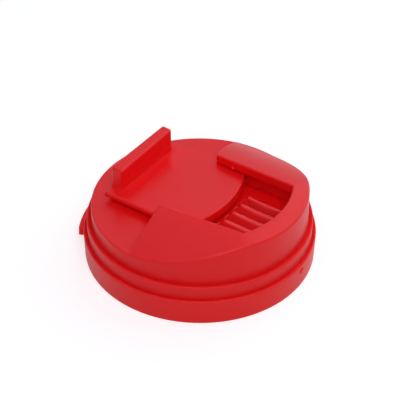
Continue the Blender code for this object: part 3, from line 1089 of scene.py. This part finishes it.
@dataclass
class CupLiner(Moulding):
    """Floor and plug that go inside the cup's mouth, with the bars under the pour window."""

    name: ClassVar[str] = "barred_liner"
    node: ClassVar[str] = "inner_liner"
    body: ClassVar[Body] = Body.LID
    slot: ClassVar[Slot] = Slot.LINER

    edge_round: float = 0.3
    rim_width: float = 1.6
    plug_wall: float = 2.0
    rim_gap: float = 3.8
    ring_wall: float = 1.8
    groove_lift: float = 2.5
    groove_height: float = 3.2
    groove_depth: float = 1.2
    pad_gap: float = 0.06
    bar_count: int = 6
    bar_edge: float = 6.9
    bar_share: float = 0.45
    bar_rise: float = 1.25
    bar_dip: float = 0.4
    bar_end: float = 0.6
    slot_lead: float = -0.3
    slot_ledge: float = 1.4
    slot_lean: float = 0.35

    def __post_init__(self) -> None:
        """Work out the plug's radius, where the slots lie and the bars' pitch."""
        self.plug_radius = self.plan.ring_radius - self.ring_wall - self.rim_gap
        self.rim_top = self.plan.deck_under - self.pad_gap
        self.pad_top = self.rim_top - self.plan.collar_drop
        self.slot_start = self.plan.slide_nose + self.slot_lead
        self.slot_end = self.plan.window_end - self.slot_ledge
        self.bar_pitch = 2 * (self.plan.window_half - self.bar_edge) / (self.bar_count - 1)

    def nearest(self, y: Array, count: int) -> Array:
        """Middle of the nearest of several bars or slots, spaced evenly about the lid's middle.

        Args:
            y: where the middle is wanted.
            count: how many bars or slots there are.

        Returns:
            The y of the middle.
        """
        outermost = (count - 1) / 2
        place = np.round(y / self.bar_pitch + outermost) - outermost
        return self.bar_pitch * np.clip(place, -outermost, outermost)

    def cup(self, x: Array, y: Array, z: Array) -> Array:
        """Field of the turned part: a floor with an upstand at its edge, and the plug with its groove.

        Args:
            x, y, z: where the field is wanted.

        Returns:
            The turned part's field.
        """
        plan = self.plan
        radius = np.hypot(x, y)
        floor = np.maximum(radius - plan.liner_radius, between(z, plan.floor_under, plan.floor_top))
        rim = largest(
            between(radius, plan.liner_radius - self.rim_width, plan.liner_radius),
            between(z, plan.floor_under, self.rim_top),
        )
        plug = meet(
            between(radius, self.plug_radius - self.plug_wall, self.plug_radius),
            between(z, plan.plug_low, plan.floor_top),
            self.edge_round,
        )
        groove_low = plan.plug_low + self.groove_lift
        groove = np.maximum(
            self.plug_radius - self.groove_depth - radius,
            between(z, groove_low, groove_low + self.groove_height),
        )
        return join(np.minimum(floor, rim), np.maximum(plug, -groove), self.edge_round)

    def bars(self, x: Array, y: Array, z: Array) -> Array:
        """Field of the round bars: the nearest bar's centre line sinks along it as half a sine wave.

        Args:
            x, y, z: where the field is wanted.

        Returns:
            The bars' field.
        """
        radius = self.bar_share * self.bar_pitch / 2
        middle = self.nearest(y, self.bar_count)
        start = self.slot_start + radius
        end = np.sqrt(self.slot_end**2 - middle**2) - self.bar_end - radius
        along = np.clip(x, start, end)
        dip = self.bar_dip * np.sin(np.pi * (along - start) / (end - start))
        height = self.pad_top + self.bar_rise - radius - dip
        return np.sqrt((x - along) ** 2 + (y - middle) ** 2 + (z - height) ** 2) - radius

    def slots(self, x: Array, y: Array, z: Array) -> Array:
        """Field of the slots between the bars, which lean towards the near side as they go down.

        Args:
            x, y, z: where the field is wanted.

        Returns:
            The slots' field.
        """
        plan = self.plan
        width = (1 - self.bar_share) * self.bar_pitch
        leant = y - self.slot_lean * (z - self.pad_top)
        across = np.abs(leant - self.nearest(leant, self.bar_count - 1)) - width / 2
        end = np.hypot(x, y) - self.slot_end
        return largest(across, self.slot_start - x, end, plan.floor_under - plan.liner_floor - z)

    def field(self, x: Array, y: Array, z: Array) -> Array:
        """Field of the whole liner.

        Args:
            x, y, z: where the field is wanted.

        Returns:
            The liner's field.
        """
        plan = self.plan
        pad = meet(plan.pad_outline(x, y), between(z, plan.floor_under, self.pad_top), self.edge_round)
        liner = join(self.cup(x, y, z), pad, self.edge_round)
        liner = meet(liner, -self.slots(x, y, z), self.edge_round)
        return join(liner, self.bars(x, y, z), self.edge_round)


@dataclass
class SealingRing:
    """Silicone ring with two lips, in the plug's groove."""

    around: int = 240
    lip_points: int = 7
    lip_share: float = 0.27
    lip_reach: float = 1.1
    depth: float = 2.0

    def profile(self) -> Array:
        """Closed outline of (radius, height) points: a flat back, and two lips, each half of a sine wave.

        Returns:
            The outline's points.
        """
        low, high = (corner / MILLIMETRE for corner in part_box("sealing_ring"))
        inner = high.y - self.depth
        lip = self.lip_share * (high.z - low.z)
        reach = high.y + self.lip_reach * (np.sin(np.linspace(0, np.pi, self.lip_points)) - 1)
        upper, lower = (
            np.stack([reach, np.linspace(top, top - lip, self.lip_points)], axis=1)
            for top in (high.z, low.z + lip)
        )
        back = np.array([(inner, height) for height in (low.z, (low.z + high.z) / 2, high.z)])
        return np.concatenate([upper, lower, back])

    def build(self, finish: SoftSilicone) -> bpy.types.Object:
        """Carry the outline round the lid's axis, then dress and register the ring.

        Args:
            finish: the ring's finish.

        Returns:
            The ring.
        """
        profile = self.profile()
        angle = np.linspace(0, 2 * np.pi, self.around, endpoint=False)[:, None]
        radius, height = profile.T
        heights = np.broadcast_to(height, (self.around, len(height)))
        rings = np.stack([radius * np.cos(angle), radius * np.sin(angle), heights], axis=-1)
        row, column = np.meshgrid(np.arange(self.around), np.arange(len(profile)), indexing="ij")
        following, beside = (row + 1) % self.around, (column + 1) % len(profile)
        corners = [(row, column), (row, beside), (following, beside), (following, column)]
        faces = np.stack([(r * len(profile) + c).ravel() for r, c in corners], axis=1)
        piece = write_mesh("silicone_ring", rings.reshape(-1, 3), faces)
        piece.data.materials.append(finish.material())
        return register(piece, "sealing_ring", Body.LID)


@dataclass
class Studio:
    """Pale floor, soft light and the camera."""

    floor_half: float = 3.0
    floor_colour: Colour = (0.94, 0.94, 0.94)
    floor_roughness: float = 0.9
    floor_gloss: float = 0.1
    floor_glow: float = 1.56
    floor_bleach: float = 0.40
    floor_lift: float = 0.02
    floor_mirrored: float = 0.4
    sky_colour: Colour = (0.96, 0.98, 1.14)
    sky_low: float = 0.48
    sky_high: float = 1.42
    ambient: float = 0.285
    key_watts: float = 3.5
    key_side: float = 1.3
    key_at: tuple[float, float, float] = (0.2, 0.83, 0.72)
    fill_watts: float = 5.5
    fill_side: float = 0.9
    fill_at: tuple[float, float, float] = (0.46, -0.48, 1.08)
    camera_distance: float = 0.4742
    camera_elevation: float = math.radians(39.9)
    camera_turn: float = math.radians(34.2)
    camera_roll: float = math.radians(0.75)
    focal_pixels: float = 1200.0
    aim: tuple[float, float, float] = (0.00393, -0.00032, 0.0204)
    sensor: float = 36.0

    def floor(self) -> None:
        """A wide plain floor at the lid's foot."""
        reach = self.floor_half / MILLIMETRE
        points = np.array([(-reach, -reach, 0), (reach, -reach, 0), (reach, reach, 0), (-reach, reach, 0)])
        ground = write_mesh("studio_floor", points, np.array([(0, 1, 2, 3)]))
        made = bpy.data.materials.new("pale_floor")
        graph = Graph(made)
        surface = {
            "Base Color": (*self.floor_colour, 1.0),
            "Roughness": self.floor_roughness,
            "Specular IOR Level": self.floor_gloss,
        }
        lit = graph.node("ShaderNodeBsdfPrincipled", {}, surface)
        glow = {"Color": (*WHITE, 1.0), "Strength": self.floor_glow}
        white = graph.node("ShaderNodeEmission", {}, glow)
        viewed, mirrored = (
            graph.node("ShaderNodeLightPath", output=name) for name in ("Is Camera Ray", "Is Glossy Ray")
        )
        share = self.floor_lift + (viewed + mirrored * self.floor_mirrored) * self.floor_bleach
        shader = graph.node("ShaderNodeMixShader", {}, {0: share, 1: lit, 2: white})
        graph.node("ShaderNodeOutputMaterial", {}, {"Surface": shader})
        ground.data.materials.append(made)

    def sky(self) -> None:
        """A white surround for the camera, one that brightens upwards in reflections, and softer light."""
        world = bpy.data.worlds.new("white_surround")
        bpy.context.scene.world = world
        graph = Graph(world)
        viewed, mirrored, passed = (
            graph.node("ShaderNodeLightPath", output=name)
            for name in ("Is Camera Ray", "Is Glossy Ray", "Is Transmission Ray")
        )
        direction = graph.node("ShaderNodeTexCoord", output="Generated")
        upwards = graph.node("ShaderNodeSeparateXYZ", {}, {"Vector": direction}, "Z").held(0.0, 1.0)
        brightness = self.sky_low + upwards * (self.sky_high - self.sky_low)
        reflected = (mirrored + passed) * (brightness - self.ambient)
        strength = self.ambient + viewed * (1.0 - self.ambient) + reflected
        colour = graph.mixed(viewed, self.sky_colour, WHITE)
        light = graph.node("ShaderNodeBackground", {}, {"Color": colour, "Strength": strength})
        graph.node("ShaderNodeOutputWorld", {}, {"Surface": light})

    def lamp(self, name: str, watts: float, side: float, place: tuple[float, float, float]) -> None:
        """A large soft lamp that shines at the lid.

        Args:
            name: name of the lamp.
            watts: its power.
            side: its diameter.
            place: where it hangs.
        """
        made = bpy.data.lights.new(name, "AREA")
        made.shape = "DISK"
        made.size = side
        made.energy = watts
        item = bpy.data.objects.new(name, made)
        item.location = place
        item.rotation_euler = (-Vector(place)).to_track_quat("-Z", "Y").to_euler()
        bpy.context.scene.collection.objects.link(item)

    def camera(self) -> None:
        """A camera at the photograph's viewing angle."""
        lens = bpy.data.cameras.new("photo_camera")
        lens.sensor_width = self.sensor
        lens.lens = self.sensor * self.focal_pixels / PHOTO_SIDE
        item = bpy.data.objects.new("photo_camera", lens)
        level = self.camera_distance * math.cos(self.camera_elevation)
        item.location = (
            level * math.sin(self.camera_turn),
            -level * math.cos(self.camera_turn),
            self.camera_distance * math.sin(self.camera_elevation),
        )
        level_view = (Vector(self.aim) - item.location).to_track_quat("-Z", "Y")
        item.rotation_euler = (level_view @ Quaternion((0, 0, 1), self.camera_roll)).to_euler()
        bpy.context.scene.collection.objects.link(item)
        bpy.context.scene.camera = item

    def build(self) -> None:
        """Set the stage."""
        bpy.context.scene.view_settings.view_transform = "Standard"
        self.floor()
        self.sky()
        self.lamp("soft_key", self.key_watts, self.key_side, self.key_at)
        self.lamp("soft_fill", self.fill_watts, self.fill_side, self.fill_at)
        self.camera()


def main() -> None:
    """Build the studio and the pieces in order."""
    logging.basicConfig(level=logging.INFO)
    plan = LidPlan()
    red = MouldedPlastic(
        "satin_red_plastic",
        colour=(0.95, 0.004, 0.006),
        cloud_colour=(0.92, 0.0035, 0.005),
        # Lighter red for the painted highlight on outer edges.
        painted_highlight_colour=(1.0, 0.06, 0.065),
        # Darker red for the painted shade in inner corners.
        painted_shade_colour=(0.62, 0.003, 0.004),
    )
    # Painted light: the liner's red is a little lighter than the shell's and carries no painted corner
    # shade, to lift the recess, which lies in shade. It is also glossier.
    lightened_liner_red = replace(
        red,
        name="recess_lightened_red_plastic",
        colour=(0.98, 0.004, 0.006),
        gloss=0.55,
        roughness=0.30,
        painted_shade_share=0.0,
    )
    Studio().build()
    LidShell(plan).build(red)
    ThumbSlide(plan).build(red)
    CupLiner(plan).build(lightened_liner_red)
    SealingRing().build(SoftSilicone("milky_silicone", (0.78, 0.77, 0.74), (0.70, 0.68, 0.65)))


if __name__ == "__main__":
    main()
